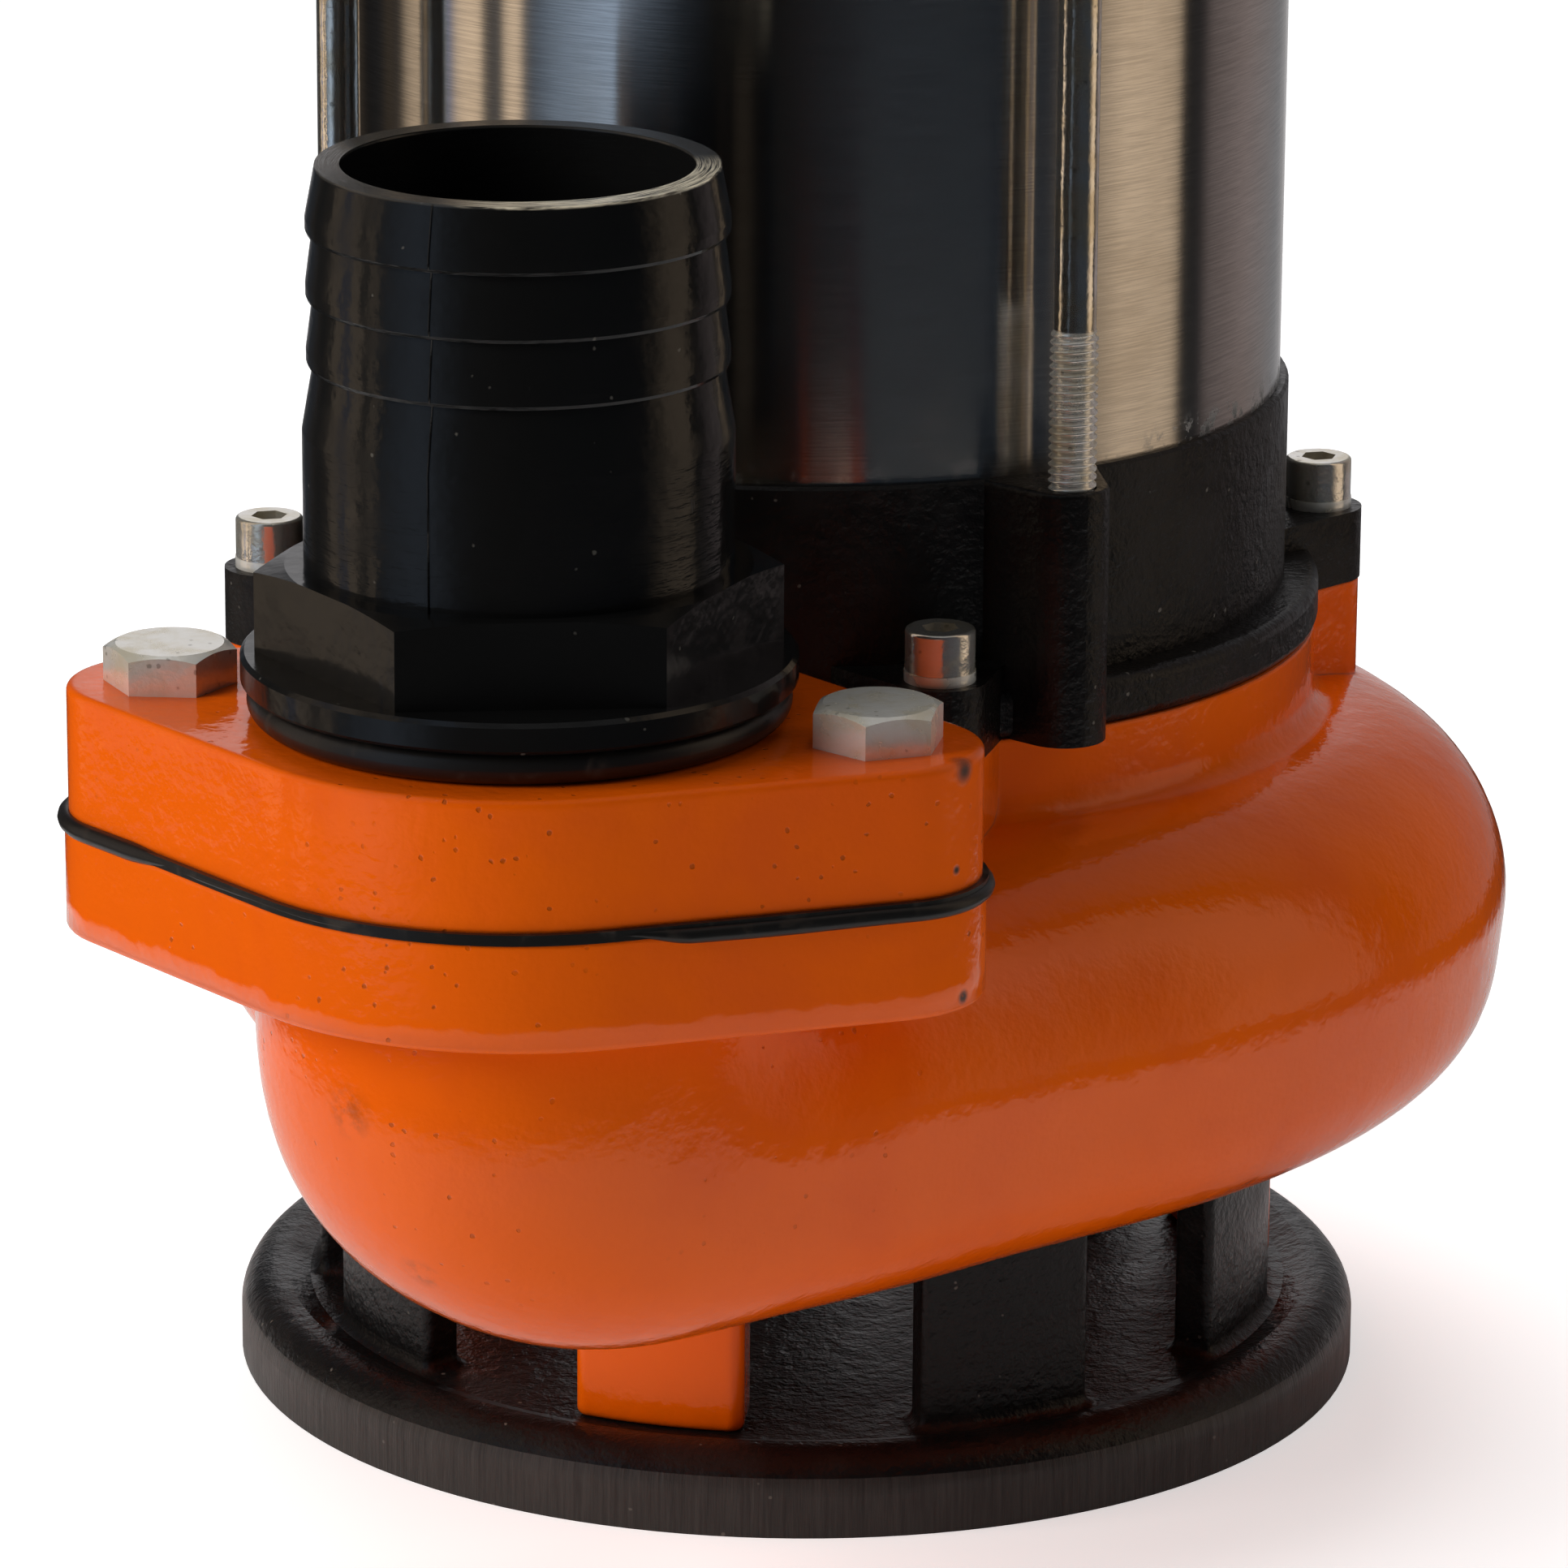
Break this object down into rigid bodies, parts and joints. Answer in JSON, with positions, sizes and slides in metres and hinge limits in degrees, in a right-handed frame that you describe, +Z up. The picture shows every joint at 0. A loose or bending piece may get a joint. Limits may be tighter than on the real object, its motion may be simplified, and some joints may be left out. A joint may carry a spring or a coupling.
{
  "type": "submersible pump",
  "caption": "Vertical submersible sewage pump with a volute casing, a flanged hose discharge, a stainless motor shell and a carry handle.",
  "frame": {"origin": "centre of the stand's underside, on the shaft axis", "axes": "+Z up along the shaft, -Y the front where the discharge stands, +X to the right seen from the front"},
  "size_m": [0.1774, 0.2204, 0.3906],
  "materials": {
    "black_paint": "rough",
    "orange_enamel": "gloss",
    "black_plastic": "gloss",
    "black_rubber": "matte",
    "zinc_steel": "satin",
    "stainless_shell": "brushed",
    "handle_steel": "brushed",
    "machined_steel": "satin",
    "bearing_steel": "polished",
    "electrical_steel": "satin",
    "copper_wire": "satin",
    "cast_aluminium": "satin",
    "cast_iron": "rough",
    "seal_ceramic": "satin",
    "copper_washer": "satin"
  },
  "bodies": {
    "pump_body": {"base_screws": "zinc_steel", "base_stand": "black_paint", "bearing_bracket": "cast_aluminium", "capacitor": "black_plastic", "capacitor_clamp": "zinc_steel", "carry_handle": "handle_steel", "casing_oring": "black_rubber", "discharge_flange": "orange_enamel", "discharge_gasket": "black_rubber", "fitting_oring": "black_rubber", "flange_bolts": "zinc_steel", "gland_body": "black_plastic", "gland_grommet": "black_rubber", "gland_nut": "black_plastic", "handle_screws": "zinc_steel", "hose_fitting": "black_plastic", "housing_screws": "zinc_steel", "lower_bearing_outer_race": "bearing_steel", "motor_shell": "stainless_shell", "oil_housing": "black_paint", "oil_plug": "zinc_steel", "oil_plug_washer": "copper_washer", "preload_spring": "zinc_steel", "rod_nuts": "zinc_steel", "rod_washers": "zinc_steel", "seal_plate": "cast_iron", "seal_seat": "seal_ceramic", "seal_seat_cup": "black_rubber", "shaft_oil_seal": "black_rubber", "shell_orings": "black_rubber", "spring_washers": "zinc_steel", "stator_core": "electrical_steel", "stator_windings": "copper_wire", "tie_rods": "zinc_steel", "top_cover": "black_paint", "upper_bearing_outer_race": "bearing_steel", "volute_casing": "orange_enamel"},
    "rotor": {"pump_shaft": "machined_steel", "impeller": "cast_iron", "impeller_key": "machined_steel", "impeller_washer": "zinc_steel", "impeller_nut": "zinc_steel", "rotor_core": "electrical_steel", "rotor_cage_rings": "cast_aluminium", "seal_head": "seal_ceramic", "seal_spring": "machined_steel", "seal_retainer": "machined_steel", "lower_bearing_inner_race": "bearing_steel", "upper_bearing_inner_race": "bearing_steel", "lower_bearing_balls": "bearing_steel", "upper_bearing_balls": "bearing_steel"}
  },
  "joints": [
    {"name": "rotor_spin", "type": "hinge", "parent": "pump_body", "child": "rotor", "pos_m": [0, 0, 0.19], "axis": [0, 0, 1], "continuous": true}
  ]
}
